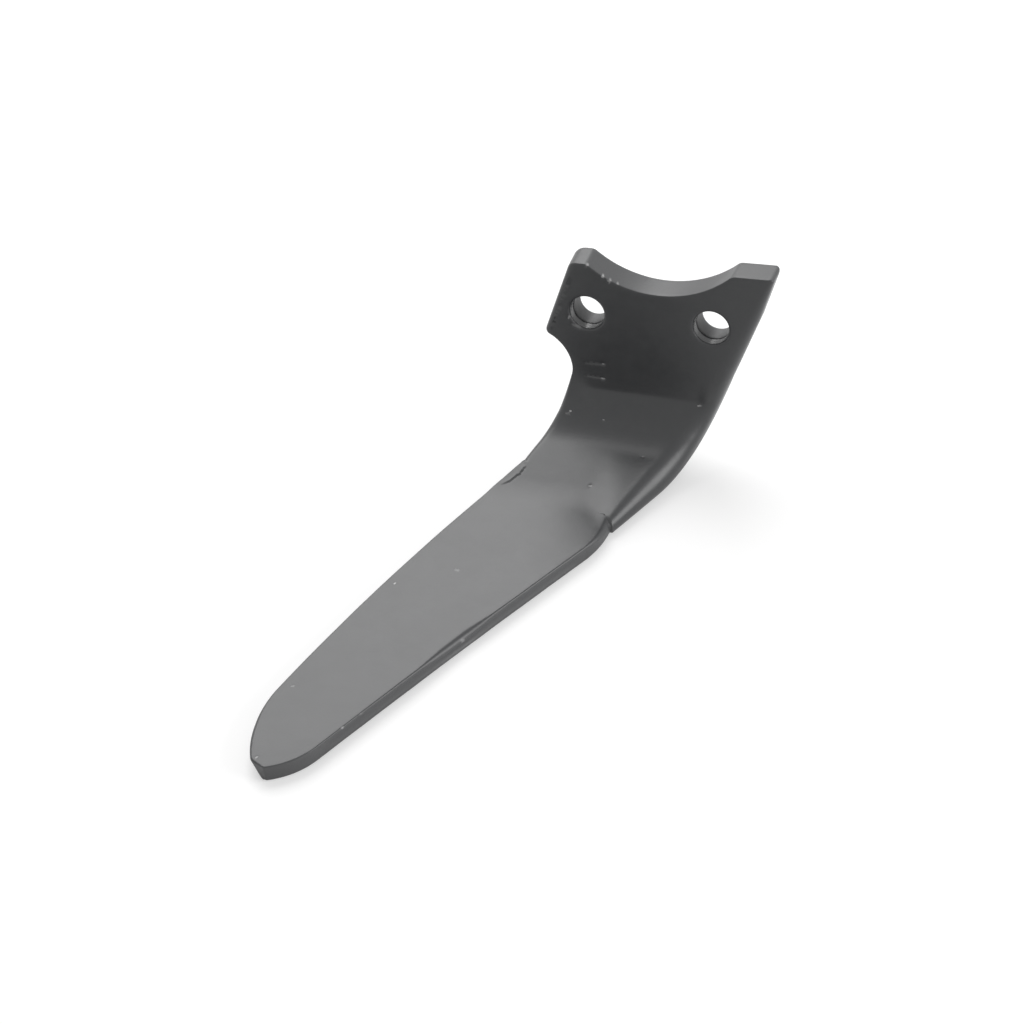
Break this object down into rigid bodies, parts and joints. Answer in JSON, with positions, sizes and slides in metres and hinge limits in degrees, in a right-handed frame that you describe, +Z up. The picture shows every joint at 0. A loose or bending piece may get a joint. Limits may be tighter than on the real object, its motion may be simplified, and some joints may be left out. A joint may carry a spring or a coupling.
{
  "type": "harrow tine",
  "caption": "Bent flat-bar tine for a rotary power harrow: raked blade with an off-centre point, upright plate with bolt holes and a round hub notch.",
  "frame": {"origin": "under the middle of the whole outline, on the surface that the blade lies on", "axes": "+X along the line of the two bolt holes, -Y towards the tip of the blade, +Z up from the surface that the blade lies on"},
  "size_m": [0.1676, 0.27, 0.1016],
  "materials": {
    "black_paint": "satin black paint over forged steel, small chips on the edges"
  },
  "bodies": {
    "root": {"harrow_tine": "black_paint"}
  },
  "joints": []
}
